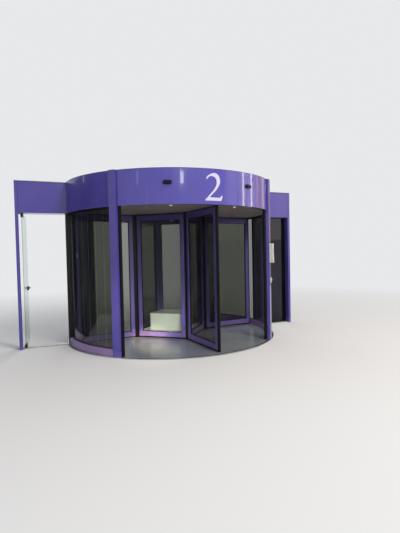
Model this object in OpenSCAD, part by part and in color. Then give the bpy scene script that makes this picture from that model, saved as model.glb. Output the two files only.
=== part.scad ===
/* [Drum] */
// Clear diameter inside the round wall
inner_d = 3540; // [3200:10:3900]
// Thickness of the round wall, from its inner face to the fascia
wall_t = 65; // [55:1:90]
// Clear height of the two entrances, from the floor below the door
clear_h = 2200; // [2000:5:2400]
// Height of the fascia band over the entrances
canopy_h = 516; // [350:1:700]
// Height of the solid skirt under the curved glass
skirt_h = 115; // [60:1:250]
// Thickness of the curved laminated glass
wall_glass_t = 12; // [8:1:16]
// Height of the channel that holds the top of the curved glass
channel_h = 20; // [15:1:40]
// Width of that channel
channel_w = 30; // [24:1:50]
// Width of the upright between the two panes of one side wall
mullion_w = 50; // [30:1:80]

/* [Posts] */
// Angle from the middle of an entrance to its posts
post_angle = 45; // [40:0.5:50]
// Width of an entrance post, along the wall
post_w = 115; // [80:1:150]
// Depth of an entrance post, across the wall
post_d = 100; // [75:1:110]
// Wall of the post, jamb and header casings
casing_t = 4; // [2:0.5:8]
// Width of the rubber safety profile on the opening side of a post
safety_w = 40; // [25:1:50]
// Depth of the rubber safety profile
safety_d = 46; // [30:1:60]
// How far that profile stays back from the swept circle's wall
safety_inset = 2; // [1:1:10]

/* [Canopy] */
// Thickness of the folded fascia sheet
sheet_t = 4; // [2:0.5:8]
// Width of the returns folded in at the top and bottom of the fascia
return_w = 60; // [45:1:62]
// Thickness of the ceiling panel
ceiling_t = 20; // [12:1:40]
// Thickness of the sheet that covers the canopy
roof_t = 4; // [3:1:10]
// How far the cover sheet stays back from the fascia
roof_inset = 10; // [5:1:40]

/* [Floor] */
// Thickness of the built floor
floor_t = 12; // [8:1:25]
// How far the floor reaches past the fascia line
floor_lip = 40; // [18:1:60]
// Width of the metal edge around the floor
floor_edge_w = 42; // [20:1:60]
// Bevel on the outer rim of that edge
floor_bevel = 5; // [2:1:7]

/* [Side bays] */
// Distance from the middle of the drum to the outside of a bay
bay_half = 2620; // [2450:5:2900]
// Depth of the bay's jamb and header, from front to back
bay_depth = 250; // [180:1:320]
// How far the bay stands in front of the drum's middle line
bay_front = 90; // [60:1:140]
// Width of the outer jamb
jamb_w = 50; // [40:1:80]
// Width of the slim jamb against the drum
inner_jamb_w = 14; // [12:1:70]
// Depth of the slim jamb
inner_jamb_d = 60; // [50:1:90]
// Depth of the threshold strip under a bay
threshold_d = 110; // [80:1:160]
// Thickness of the glass in the bays
bay_glass_t = 12; // [8:1:15]

/* [Pass door] */
// Distance from the jamb to the door's pivot
pivot_inset = 50; // [45:1:90]
// Gap around the door leaf
leaf_gap = 5; // [5:0.5:10]
// Angle at which the leaf stands open
leaf_open = 85; // [60:1:90]
// Length of the metal patch at a corner of the leaf
patch_l = 160; // [140:1:220]
// Height of a patch
patch_h = 50; // [45:1:80]
// Thickness of a patch, over both faces of the glass
patch_t = 34; // [32:1:44]
// Height of the lever handle above the floor
handle_z = 940; // [850:5:1150]
// Distance from the leaf's free edge to the lock case
handle_inset = 45; // [20:5:120]
// Length of the lock case
case_l = 110; // [80:5:160]
// Height of the lock case
case_h = 66; // [50:1:90]
// Thickness of the lock case on each face of the glass
case_t = 14; // [8:1:20]
// How far a lever stands out of the glass
lever_out = 46; // [35:1:52]
// Radius of a lever
lever_r = 9; // [6:1:12]
// Length of a lever
lever_l = 105; // [80:5:130]
// Radius of the pivot pins
pivot_r = 8; // [6:0.5:9]
// Radius of the flanges that the pivot pins stand on
pivot_flange_r = 16; // [12:1:17]

/* [Rotor] */
// Angle at which the rotor stands
rotor_rest = 4.5; // [2:0.5:10]
// Distance from the axis to a corner of the square core
core_corner_r = 695; // [600:1:760]
// Running gap between the rotor and the wall, floor and ceiling
run_gap = 5; // [5:0.5:8]
// Thickness of the wing and core frames
frame_t = 50; // [40:1:54]
// Width of the upright stiles
stile_w = 70; // [55:1:95]
// Height of the bottom rails
bottom_rail_h = 85; // [70:1:140]
// Height of the top rails
top_rail_h = 100; // [70:1:140]
// Height of the brush strip under the frames
brush_h = 23; // [18:1:30]
// Height of the seal strip over the frames
top_seal_h = 15; // [10:1:20]
// Width of the rubber seal at the end of a wing
end_seal_w = 30; // [20:1:40]
// Thickness of the seal strips
seal_t = 30; // [16:1:36]
// Width of the black joint between a core corner and its wing
joint_w = 35; // [25:1:50]
// Thickness of the flat panes in the rotor
pane_t = 10; // [6:1:12]
// Depth of the groove that holds a pane
groove_depth = 12; // [8:1:18]
// Clearance of a pane in its groove
groove_play = 0.3; // [0.2:0.1:0.6]
// Edge chamfer of the rails and stiles
frame_chamfer = 3; // [1:0.5:5]

/* [Core] */
// Height of the hollow floor that the core stands on
base_t = 100; // [40:1:110]
// Wall of the hollow floor
base_wall = 20; // [10:1:25]
// Thickness of the plate over the core
top_plate_t = 30; // [20:1:40]
// Radius of the pivot pin and of the top spindle
spindle_r = 30; // [20:1:45]
// How far the top spindle reaches above the ceiling panel
spindle_out = 20; // [10:1:60]
// Radius of the bearing flange on the floor
flange_r = 70; // [60:1:100]
// Seat clearance under the core, the ceiling panel and the cover sheet
seat_gap = 0.3; // [0.2:0.1:0.6]
// Radial clearance of the running fits
fit_gap = 0.05; // [0.02:0.01:0.08]
// Width of the display plinth inside the core
plinth_w = 660; // [400:10:700]
// Depth of the display plinth
plinth_d = 500; // [300:10:660]
// Height of the display plinth
plinth_h = 290; // [200:10:600]
// Wall of the display plinth
plinth_t = 12; // [8:1:25]

/* [Fittings] */
// Width of a motion sensor
sensor_w = 130; // [90:1:180]
// Height of a motion sensor
sensor_h = 56; // [40:1:70]
// How far a sensor stands out of the fascia
sensor_out = 28; // [15:1:45]
// Angle from the middle of the pair to each sensor
sensor_angle = 20.9; // [12:0.1:30]
// Angle by which the pair is set off the middle of the entrance
sensor_offset = 1.2; // [0:0.1:4]
// Height of the sensors above the fascia's lower edge
sensor_rise = 308; // [100:1:420]
// Width of the control box on the right entrance post
box_w = 90; // [60:1:110]
// Height of the control box
box_h = 325; // [200:1:450]
// Depth of the control box
box_d = 60; // [30:1:80]
// Height of the control box's underside above the floor
box_z = 1312; // [900:1:1500]

/* [Hidden] */
// Facets drawn on a full turn
$fn = 240;

// Directions in which the entrances and the side walls face
front = -90;
rear = 90;
left = 180;
right = 0;
entrance_span = 2 * post_angle;
side_span = 180 - entrance_span;
// Radii of the drum
inner_r = inner_d / 2;
outer_r = inner_r + wall_t;
floor_r = outer_r + floor_lip;
post_out = inner_r + post_d;
// Heights
canopy_top = clear_h + canopy_h;
ceiling_z = clear_h + sheet_t;
// Rotor
tip_r = inner_r - run_gap;
wing_out = tip_r - end_seal_w;
wing_in = core_corner_r + joint_w;
rotor_low = floor_t + run_gap;
rotor_high = ceiling_z - run_gap;
frame_low = rotor_low + brush_h;
frame_high = rotor_high - top_seal_h;
core_half = core_corner_r / sqrt(2);
core_inside = core_half - frame_t;
wing_count = 4;
wing_step = 360 / wing_count;
side_turn = wing_step / 2;
// How far the flat end of a seal stays back, so that its corners keep the running gap
corner_back = 1;
// Bays
bay_y = bay_depth / 2 - bay_front;
drum_side = outer_r + inner_jamb_w;
jamb_inside = bay_half - jamb_w;
pivot_x = jamb_inside - pivot_inset;
leaf_heel = sqrt(pow(pivot_inset - leaf_gap, 2) - pow(patch_t / 2, 2));
leaf_reach = pivot_x - drum_side - leaf_gap;
leaf_low = floor_t + leaf_gap;
leaf_high = clear_h - leaf_gap;
// A little more than any size, for cuts that pass right through
past = 2;

purple = [0.42, 0.38, 0.70];
pale_purple = [0.56, 0.50, 0.76];
black = [0.07, 0.07, 0.08];
glass_tint = [0.45, 0.52, 0.52, 0.35];
floor_grey = [0.42, 0.45, 0.50];
steel = [0.70, 0.71, 0.72];
ceiling_grey = [0.36, 0.35, 0.35];
off_white = [0.84, 0.86, 0.80];

// A ring sector with a square section, from one angle over a sweep
module sector(r0, r1, z0, z1, start, sweep) {
    rotate([0, 0, start])
        rotate_extrude(angle = sweep)
            translate([r0, z0])
                square([r1 - r0, z1 - z0]);
}

// The solid outline of one entrance post, for cutting what meets it
module post_block(angle, z0, z1) {
    rotate([0, 0, angle])
        translate([inner_r, -post_w / 2, z0])
            cube([post_d, post_w, z1 - z0]);
}

// All four post outlines: the entrances face the front and the rear
module post_blocks(z0, z1) {
    for (way = [front, rear])
        for (turn = [-post_angle, post_angle])
            post_block(way + turn, z0, z1);
}

// The outline of the upright between two panes of one side wall
module mullion_block(angle, z0, z1) {
    rotate([0, 0, angle])
        intersection() {
            translate([inner_r - past, -mullion_w / 2, z0])
                cube([wall_t + 2 * past, mullion_w, z1 - z0]);
            difference() {
                cylinder(r = outer_r, h = z1);
                cylinder(r = inner_r, h = z1);
            }
        }
}

// A piece of round wall that fills one side, between its two posts
module side_wall(side, r0, r1, z0, z1) {
    difference() {
        sector(r0, r1, z0, z1, side - side_span / 2, side_span);
        post_blocks(z0 - past, z1 + past);
    }
}

// A chamfered bar standing on its end
module bar(w, t, length) {
    c = frame_chamfer;
    linear_extrude(height = length)
        polygon([
            [c, -t / 2], [w - c, -t / 2], [w, -t / 2 + c], [w, t / 2 - c],
            [w - c, t / 2], [c, t / 2], [0, t / 2 - c], [0, -t / 2 + c]
        ]);
}

// A glazed frame in the plane of X and Z, from x0 to x1, with its pane groove
module panel_frame(x0, x1) {
    rail = x1 - x0 - 2 * stile_w;
    difference() {
        union() {
            for (x = [x0, x1 - stile_w])
                translate([x, 0, frame_low])
                    bar(stile_w, frame_t, frame_high - frame_low);
            for (level = [[frame_low, bottom_rail_h], [frame_high - top_rail_h, top_rail_h]])
                translate([x0 + stile_w - frame_chamfer, 0, level[0]])
                    rotate([90, 0, 90])
                        translate([0, level[1] / 2, 0])
                            rotate([0, 0, 90])
                                translate([-level[1] / 2, 0, 0])
                                    bar(level[1], frame_t, rail + 2 * frame_chamfer);
        }
        groove(x0, x1);
    }
}

// The space that the pane and its groove take in a frame
module groove(x0, x1) {
    t = pane_t + 2 * groove_play;
    translate([x0 + stile_w - groove_depth, -t / 2, frame_low + bottom_rail_h - groove_depth])
        cube([
            x1 - x0 - 2 * stile_w + 2 * groove_depth,
            t,
            frame_high - frame_low - bottom_rail_h - top_rail_h + 2 * groove_depth
        ]);
}

// The pane of one frame, held in the groove
module panel_pane(x0, x1) {
    inset = stile_w - groove_depth + groove_play;
    translate([x0 + inset, -pane_t / 2, frame_low + bottom_rail_h - groove_depth + groove_play])
        cube([
            x1 - x0 - 2 * inset,
            pane_t,
            frame_high - frame_low - bottom_rail_h - top_rail_h + 2 * (groove_depth - groove_play)
        ]);
}

// Places something on one of the four wings
module on_wing(index) {
    rotate([0, 0, rotor_rest + index * wing_step])
        children();
}

// Places a panel drawn about the X axis on one of the four sides of the core
module on_core_side(index) {
    rotate([0, 0, rotor_rest + side_turn + index * wing_step])
        translate([core_half - frame_t / 2, 0, 0])
            rotate([0, 0, 90])
                children();
}

// Polished floor inside the metal edge
module floor_disc() {
    color(floor_grey)
        cylinder(r = floor_r - floor_edge_w, h = floor_t);
}

// Metal edge around the floor, bevelled on its rim
module floor_edge() {
    inside = floor_r - floor_edge_w;
    color(steel)
        rotate_extrude()
            polygon([
                [inside, 0], [floor_r, 0], [floor_r, floor_t - floor_bevel],
                [floor_r - floor_bevel, floor_t], [inside, floor_t]
            ]);
}

// Bearing on the floor: a flange, and the pin that the core turns on
module floor_bearing() {
    color(steel) {
        translate([0, 0, floor_t])
            cylinder(r = flange_r, h = run_gap - seat_gap);
        translate([0, 0, floor_t])
            cylinder(r = spindle_r, h = run_gap + base_t);
    }
}

// Solid skirts under the curved glass
module wall_skirts() {
    color(pale_purple)
        for (side = [right, left])
            side_wall(side, inner_r, outer_r, floor_t, skirt_h);
}

// Two curved panes, one on each side of the upright
module curved_glass(side) {
    color(glass_tint)
        difference() {
            side_wall(side, inner_r, inner_r + wall_glass_t, skirt_h, clear_h - channel_h);
            mullion_block(side, 0, clear_h);
        }
}

// Channels that hold the top of the curved glass under the fascia
module glass_channels() {
    color(black)
        for (side = [right, left])
            difference() {
                side_wall(side, inner_r, inner_r + channel_w, clear_h - channel_h, clear_h);
                mullion_block(side, 0, clear_h + past);
            }
}

module wall_mullions() {
    color(black)
        for (side = [right, left])
            mullion_block(side, skirt_h, clear_h);
}

// Entrance post: a square casing, closed at the top
module entrance_post(angle) {
    color(purple)
        difference() {
            post_block(angle, floor_t, canopy_top);
            rotate([0, 0, angle])
                translate([inner_r + casing_t, -post_w / 2 + casing_t, floor_t - past])
                    cube([
                        post_d - 2 * casing_t,
                        post_w - 2 * casing_t,
                        canopy_top - casing_t - floor_t + past
                    ]);
        }
}

// Rubber profile with a round nose on the opening side of a post
module safety_edge(angle, toward) {
    nose = safety_d / 2;
    rotate([0, 0, angle])
        translate([inner_r + safety_inset, toward * post_w / 2, floor_t])
            linear_extrude(height = clear_h - floor_t) {
                translate([0, toward > 0 ? 0 : nose - safety_w])
                    square([safety_d, safety_w - nose]);
                intersection() {
                    translate([nose, toward * (safety_w - nose)])
                        circle(r = nose);
                    translate([0, toward > 0 ? 0 : -safety_w])
                        square([safety_d, safety_w]);
                }
            }
}

module safety_edges() {
    color(black)
        for (way = [front, rear]) {
            safety_edge(way - post_angle, 1);
            safety_edge(way + post_angle, -1);
        }
}

// Folded fascia sheet with a return at the top and at the bottom
module fascia(middle, sweep) {
    inner = outer_r - sheet_t;
    lip = outer_r - return_w;
    color(purple)
        difference() {
            rotate([0, 0, middle - sweep / 2])
                rotate_extrude(angle = sweep)
                    polygon([
                        [outer_r, clear_h], [outer_r, canopy_top], [lip, canopy_top],
                        [lip, canopy_top - sheet_t], [inner, canopy_top - sheet_t],
                        [inner, ceiling_z], [lip, ceiling_z], [lip, clear_h]
                    ]);
            post_blocks(0, canopy_top + past);
        }
}

// Ceiling panel that rests on the lower returns, with the bore for the spindle
module ceiling() {
    color(ceiling_grey)
        difference() {
            translate([0, 0, ceiling_z + seat_gap])
                cylinder(r = outer_r - 2 * sheet_t, h = ceiling_t - seat_gap);
            post_blocks(0, canopy_top);
            cylinder(r = spindle_r + fit_gap, h = canopy_top);
        }
}

module roof_cover() {
    color(ceiling_grey)
        translate([0, 0, canopy_top + seat_gap])
            cylinder(r = outer_r - roof_inset, h = roof_t - seat_gap);
}

// Bay header: a casing coped to the round fascia and closed at the jamb end
module header(way) {
    inside = casing_t;
    color(purple)
        difference() {
            translate([way > 0 ? 0 : -bay_half, -bay_front, clear_h])
                cube([bay_half, bay_depth, canopy_h]);
            translate([way > 0 ? 0 : -bay_half + inside, -bay_front + inside, clear_h + inside])
                cube([bay_half - inside, bay_depth - 2 * inside, canopy_h - 2 * inside]);
            translate([0, 0, clear_h - past])
                cylinder(r = outer_r, h = canopy_h + 2 * past);
        }
}

// Outer jambs: upright casings under the headers
module outer_jambs() {
    color(purple)
        for (x = [-bay_half, jamb_inside])
            difference() {
                translate([x, -bay_front, 0])
                    cube([jamb_w, bay_depth, clear_h]);
                translate([x + casing_t, -bay_front + casing_t, -past])
                    cube([jamb_w - 2 * casing_t, bay_depth - 2 * casing_t, clear_h - casing_t + past]);
            }
}

// Slim dark jambs between the bays and the drum, coped to the wall
module inner_jambs() {
    color(black)
        for (way = [-1, 1])
            difference() {
                translate([way > 0 ? 0 : -drum_side, bay_y - inner_jamb_d / 2, floor_t])
                    cube([drum_side, inner_jamb_d, clear_h - floor_t]);
                cylinder(r = outer_r, h = clear_h + past);
            }
}

// Threshold strips from the drum's floor to the jambs
module thresholds() {
    color(steel)
        difference() {
            translate([-jamb_inside, bay_y - threshold_d / 2, 0])
                cube([2 * jamb_inside, threshold_d, floor_t]);
            translate([0, 0, -past])
                cylinder(r = floor_r, h = floor_t + 2 * past);
        }
}

// Fixed pane of the right bay
module right_bay_glass() {
    color(glass_tint)
        translate([drum_side, bay_y - bay_glass_t / 2, floor_t])
            cube([jamb_inside - drum_side, bay_glass_t, clear_h - floor_t]);
}

// Pivot pins of the pass door, one on the threshold and one under the header
module door_pivots() {
    pin = leaf_gap + patch_h / 2;
    flange = leaf_gap - seat_gap;
    color(steel)
        translate([-pivot_x, bay_y, 0]) {
            translate([0, 0, floor_t]) {
                cylinder(r = pivot_flange_r, h = flange);
                cylinder(r = pivot_r, h = pin);
            }
            translate([0, 0, clear_h - pin])
                cylinder(r = pivot_r, h = pin);
            translate([0, 0, clear_h - flange])
                cylinder(r = pivot_flange_r, h = flange);
        }
}

// Places the leaf, drawn closed along X from its pivot, at its open angle
module on_pivot() {
    translate([-pivot_x, bay_y, 0])
        rotate([0, 0, leaf_open])
            children();
}

// Cut-outs in the glass for the two corner patches
module patch_space(grow) {
    for (z = [leaf_low, leaf_high - patch_h])
        translate([-leaf_heel - grow, -patch_t / 2 - grow, z - grow])
            cube([patch_l + 2 * grow, patch_t + 2 * grow, patch_h + 2 * grow]);
}

module door_leaf() {
    color(glass_tint)
        on_pivot()
            difference() {
                translate([-leaf_heel, -bay_glass_t / 2, leaf_low])
                    cube([leaf_heel + leaf_reach, bay_glass_t, leaf_high - leaf_low]);
                patch_space(0);
            }
}

// Corner patches with the bores that turn on the pivot pins
module door_patches() {
    color(black)
        on_pivot()
            difference() {
                patch_space(0);
                translate([0, 0, leaf_low - past])
                    cylinder(r = pivot_r + fit_gap, h = past + patch_h / 2 + past);
                translate([0, 0, leaf_high - patch_h / 2 - past])
                    cylinder(r = pivot_r + fit_gap, h = past + patch_h / 2 + past);
            }
}

// Lock case with a lever on each face of the glass
module door_handle() {
    spot = leaf_reach - case_l / 2 - handle_inset;
    color(black)
        on_pivot()
            for (face = [-1, 1])
                translate([spot, face * bay_glass_t / 2, handle_z]) {
                    translate([-case_l / 2, face > 0 ? 0 : -case_t, -case_h / 2])
                        cube([case_l, case_t, case_h]);
                    rotate([-face * 90, 0, 0])
                        cylinder(r = lever_r, h = lever_out);
                    translate([lever_r, face * (lever_out - lever_r), 0])
                        rotate([0, -90, 0])
                            cylinder(r = lever_r, h = lever_l);
                }
}

// Long round-ended body of one sensor, seated on the round fascia
module sensor(angle) {
    round_r = sensor_h / 2;
    rotate([0, 0, angle])
        difference() {
            translate([outer_r - wall_t, 0, clear_h + sensor_rise])
                rotate([90, 0, 90])
                    linear_extrude(height = wall_t + sensor_out) {
                        square([sensor_w - sensor_h, sensor_h], center = true);
                        for (way = [-1, 1])
                            translate([way * (sensor_w / 2 - round_r), 0])
                                circle(r = round_r);
                    }
            cylinder(r = outer_r, h = canopy_top);
        }
}

module motion_sensors() {
    color(black)
        for (way = [front, rear])
            for (turn = [-sensor_angle, sensor_angle])
                sensor(way + sensor_offset + turn);
}

// Control box on the outer face of the right front post
module control_box() {
    color(off_white)
        rotate([0, 0, front + post_angle])
            translate([post_out, -box_w / 2, box_z])
                cube([box_d, box_w, box_h]);
}

// Raised floor of the core, hollow from below, with a bored hub for the bearing pin
module core_base() {
    hollow = core_inside - base_wall;
    color(off_white)
        difference() {
            rotate([0, 0, rotor_rest + side_turn])
                translate([-core_inside, -core_inside, rotor_low])
                    cube([2 * core_inside, 2 * core_inside, base_t]);
            difference() {
                rotate([0, 0, rotor_rest + side_turn])
                    translate([-hollow, -hollow, rotor_low - past])
                        cube([2 * hollow, 2 * hollow, base_t - base_wall + past]);
                cylinder(r = spindle_r + base_wall, h = rotor_low + base_t);
            }
            cylinder(r = spindle_r + fit_gap, h = rotor_low + base_t + past);
        }
}

// Plate over the core with the spindle that turns in the ceiling
module core_top() {
    color(ceiling_grey) {
        rotate([0, 0, rotor_rest + side_turn])
            translate([-core_inside, -core_inside, frame_high - top_plate_t])
                cube([2 * core_inside, 2 * core_inside, top_plate_t]);
        translate([0, 0, frame_high - top_plate_t])
            cylinder(r = spindle_r, h = ceiling_z + ceiling_t + spindle_out - frame_high + top_plate_t);
    }
}

// Black corner post of the core, with the neck that carries the wing
module core_post() {
    neck = frame_t - 2 * frame_chamfer;
    translate([0, 0, rotor_low])
        linear_extrude(height = rotor_high - rotor_low)
            difference() {
                union() {
                    rotate([0, 0, side_turn])
                        translate([core_inside, -core_half])
                            square([frame_t, frame_t]);
                    translate([core_corner_r - frame_t / 2, -neck / 2])
                        square([joint_w + frame_t / 2, neck]);
                }
                for (way = [-1, 1])
                    rotate([0, 0, side_turn * way])
                        translate([core_inside, -core_inside])
                            square([frame_t, 2 * core_inside]);
            }
}

module core_posts() {
    color(black)
        for (index = [0 : wing_count - 1])
            on_wing(index)
                core_post();
}

module core_frames() {
    color(purple)
        for (index = [0 : wing_count - 1])
            on_core_side(index)
                panel_frame(-core_inside, core_inside);
}

module core_glass() {
    color(glass_tint)
        for (index = [0 : wing_count - 1])
            on_core_side(index)
                panel_pane(-core_inside, core_inside);
}

module wing_frame(index) {
    color(purple)
        on_wing(index)
            panel_frame(wing_in, wing_out);
}

module wing_glass() {
    color(glass_tint)
        for (index = [0 : wing_count - 1])
            on_wing(index)
                panel_pane(wing_in, wing_out);
}

// Rubber seal at the outer end of each wing, with a slim lip toward the wall
module wing_end_seals() {
    lip = seal_t / 2;
    lip_end = tip_r - corner_back;
    color(black)
        for (index = [0 : wing_count - 1])
            on_wing(index)
                translate([0, 0, rotor_low])
                    linear_extrude(height = rotor_high - rotor_low)
                        polygon([
                            [wing_out, -frame_t / 2], [wing_out + lip, -frame_t / 2],
                            [lip_end, -lip / 2], [lip_end, lip / 2],
                            [wing_out + lip, frame_t / 2], [wing_out, frame_t / 2]
                        ]);
}

// One level of seal strips: under or over the wings and the sides of the core
module seal_level(z, height) {
    for (index = [0 : wing_count - 1]) {
        on_wing(index)
            translate([wing_in, -seal_t / 2, z])
                cube([wing_out - wing_in, seal_t, height]);
        on_core_side(index)
            translate([-core_inside, -seal_t / 2, z])
                cube([2 * core_inside, seal_t, height]);
    }
}

module rotor_brushes() {
    color(black)
        seal_level(rotor_low, brush_h);
}

module rotor_top_seals() {
    color(black)
        seal_level(frame_high, top_seal_h);
}

// Open-bottomed display plinth that stands on the core's plate
module display_plinth() {
    color(off_white)
        rotate([0, 0, rotor_rest + side_turn])
            translate([0, 0, rotor_low + base_t])
                difference() {
                    translate([-plinth_d / 2, -plinth_w / 2, 0])
                        cube([plinth_d, plinth_w, plinth_h]);
                    translate([-plinth_d / 2 + plinth_t, -plinth_w / 2 + plinth_t, -past])
                        cube([plinth_d - 2 * plinth_t, plinth_w - 2 * plinth_t, plinth_h - plinth_t + past]);
                }
}

floor_disc();
floor_edge();
floor_bearing();
wall_skirts();
curved_glass(left);  // left_glass
curved_glass(right);  // right_glass
glass_channels();
wall_mullions();
entrance_post(front - post_angle);  // front_left_post
entrance_post(front + post_angle);  // front_right_post
entrance_post(rear + post_angle);  // rear_left_post
entrance_post(rear - post_angle);  // rear_right_post
safety_edges();
fascia(front, entrance_span);  // front_fascia
fascia(rear, entrance_span);  // rear_fascia
fascia(left, side_span);  // left_fascia
fascia(right, side_span);  // right_fascia
ceiling();
roof_cover();
header(-1);  // left_header
header(1);  // right_header
outer_jambs();
inner_jambs();
thresholds();
right_bay_glass();
motion_sensors();
control_box();
core_base();
core_top();
core_posts();
core_frames();
core_glass();
wing_frame(0);  // wing_a_frame
wing_frame(1);  // wing_b_frame
wing_frame(2);  // wing_c_frame
wing_frame(3);  // wing_d_frame
wing_glass();
wing_end_seals();
rotor_brushes();
rotor_top_seals();
display_plinth();
door_pivots();
door_leaf();
door_patches();
door_handle();
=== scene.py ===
import math
import random

import bmesh
import bpy
from mathutils import Matrix, Vector


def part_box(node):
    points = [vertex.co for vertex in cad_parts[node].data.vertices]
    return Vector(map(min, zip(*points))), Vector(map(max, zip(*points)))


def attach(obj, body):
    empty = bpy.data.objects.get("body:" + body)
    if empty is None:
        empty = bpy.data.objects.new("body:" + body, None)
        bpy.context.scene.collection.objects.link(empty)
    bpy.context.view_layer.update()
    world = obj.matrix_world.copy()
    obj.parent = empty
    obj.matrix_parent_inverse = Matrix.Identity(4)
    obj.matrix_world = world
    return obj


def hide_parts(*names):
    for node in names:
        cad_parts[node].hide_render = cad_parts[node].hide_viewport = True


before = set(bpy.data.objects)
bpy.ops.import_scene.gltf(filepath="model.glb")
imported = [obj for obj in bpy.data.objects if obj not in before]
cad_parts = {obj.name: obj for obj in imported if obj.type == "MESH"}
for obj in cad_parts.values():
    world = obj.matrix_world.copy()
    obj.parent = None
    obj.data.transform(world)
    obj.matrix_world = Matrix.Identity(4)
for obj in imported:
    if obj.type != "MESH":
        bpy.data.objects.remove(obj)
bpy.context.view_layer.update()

# The view: taken from outside, left of the middle and at eye height, with a wide
# lens held almost level. The sensor's length spans the height of the photograph.
eye = Vector((-2.46271, -7.12377, 1.514))
yaw, pitch, roll = -0.4053, 0.0355, -0.0205
focal_length_px, photo_height_px, sensor_length_mm = 402.36, 533, 36.0
ahead = Vector((-math.sin(yaw) * math.cos(pitch), math.cos(yaw) * math.cos(pitch), -math.sin(pitch)))
level = Vector((math.cos(yaw), math.sin(yaw), 0.0))
plumb = level.cross(ahead)
rightward = level * math.cos(roll) + plumb * math.sin(roll)
upward = plumb * math.cos(roll) - level * math.sin(roll)
lens = bpy.data.cameras.new("view")
lens.sensor_width = sensor_length_mm
lens.lens = focal_length_px / photo_height_px * sensor_length_mm
view = bpy.data.objects.new("view", lens)
view.matrix_world = Matrix.Translation(eye) @ Matrix((rightward, upward, -ahead)).transposed().to_4x4()
bpy.context.scene.collection.objects.link(view)
bpy.context.scene.camera = view


# Built floor: one disc of dark polished stone with a fine fleck, ground level
# with its metal edge. Shoes and the rotor's brushes leave faint rings on it.
class Wire:
    """A socket of a shader tree. Arithmetic on it adds Math nodes."""

    def __init__(self, finish, socket):
        self.finish, self.socket = finish, socket

    def __getitem__(self, output):
        return Wire(self.finish, self.socket.node.outputs[output])

    def apply(self, operation, *others):
        return self.finish.calculate(operation, self, *others)

    def __add__(self, other):
        return self.apply("ADD", other)

    def __sub__(self, other):
        return self.apply("SUBTRACT", other)

    def __rsub__(self, other):
        return self.finish.calculate("SUBTRACT", other, self)

    def __mul__(self, other):
        return self.apply("MULTIPLY", other)

    def __pow__(self, other):
        return self.apply("POWER", other)

    def __gt__(self, other):
        return self.apply("GREATER_THAN", other)

    __radd__ = __add__
    __rmul__ = __mul__


class Finish:
    """A material or a world in the making. node() adds any node and gives one of its outputs."""

    def __init__(self, name, family=bpy.data.materials):
        self.owner = family.new(name)
        self.owner.use_nodes = True
        self.tree = self.owner.node_tree
        self.tree.nodes.clear()

    def node(self, kind, settings=None, inputs=None, output=0):
        made = self.tree.nodes.new("ShaderNode" + kind)
        for key, value in (settings or {}).items():
            setattr(made, key, value)
        for key, value in (inputs or {}).items():
            if isinstance(value, Wire):
                self.tree.links.new(value.socket, made.inputs[key])
            else:
                made.inputs[key].default_value = value
        return Wire(self, made.outputs[output]) if made.outputs else None

    def calculate(self, operation, *values):
        return self.node("Math", {"operation": operation}, dict(enumerate(values)))

    def place(self):
        return self.node("TexCoord", output="Object")

    def spot(self):
        """The place as numbers, with its X, Y and Z by name."""
        return self.node("SeparateXYZ", {}, {0: self.place()})

    def radius(self):
        """The distance from the drum's axis."""
        spot = self.spot()
        return (spot["X"] * spot["X"] + spot["Y"] * spot["Y"]) ** 0.5

    def turn(self):
        """The turn round the drum's axis, in radians."""
        spot = self.spot()
        return spot["Y"].apply("ARCTAN2", spot["X"])

    def point(self, *axes):
        return self.node("CombineXYZ", {}, dict(enumerate(axes)))

    def stretch(self, amounts):
        """The place, stretched along each axis by its own amount."""
        return self.node("VectorMath", {"operation": "MULTIPLY"}, {0: self.place(), 1: amounts})

    def noise(self, scale, detail=4.0, where=None):
        return self.node("TexNoise", {}, {"Vector": where or self.place(), "Scale": scale, "Detail": detail})

    def band(self, value, low, high):
        """How far value has come from low to high, kept between 0 and 1."""
        return self.node("MapRange", {"clamp": True}, {"Value": value, "From Min": low, "From Max": high})

    def blend(self, share, first, second):
        return self.node("Mix", {"data_type": "RGBA"}, {0: share, 6: first, 7: second}, 2)

    def surface(self, looks, height=None, depth=0.0002):
        """Ends the tree in a Principled shader, with height as a bump of that depth in metres."""
        if height is not None:
            bump = self.node("Bump", {}, {"Height": height, "Distance": depth})
            looks = dict(looks, Normal=bump)
        self.node("OutputMaterial", {}, {"Surface": self.node("BsdfPrincipled", {}, looks)})
        return self.owner


def shade(red, green, blue):
    """A colour as a screen shows it, from 0 to 255, in the shader's own linear numbers."""
    shown = (value / 255 for value in (red, green, blue))
    return (*(s / 12.92 if s < 0.04045 else ((s + 0.055) / 1.055) ** 2.4 for s in shown), 1.0)


def dress(material, *names):
    """Gives that material to nodes of the CAD."""
    for name in names:
        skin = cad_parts[name].data.materials
        skin.clear()
        skin.append(material)


stone = Finish("polished_stone")
fleck = stone.noise(260.0, 3.0)
cloud = stone.noise(1.7, 5.0)
rings = stone.noise(1.0, 5.0, stone.point(stone.radius() * 34.0, cloud * 2.0))
grey = stone.blend(stone.band(fleck, 0.36, 0.66), shade(92, 99, 109), shade(138, 143, 150))
grey = stone.blend(stone.band(cloud, 0.35, 0.75) * 0.35, grey, shade(150, 146, 138))
polished_stone = stone.surface({
    "Base Color": grey,
    "Roughness": 0.13 + stone.band(rings, 0.35, 0.75) * 0.05 + cloud * 0.06,
    "IOR": 1.55,
}, fleck, depth=0.00004)
dress(polished_stone, "floor_disc")


# Metal edge around the floor and the threshold strips of the bays: stainless
# steel, brushed along its length and held down by countersunk screws.
def heights(name):
    """The lowest and the highest Z of a node of the CAD."""
    return [corner.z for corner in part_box(name)]


def circle(sides):
    return [math.tau * i / sides for i in range(sides)]


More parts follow.
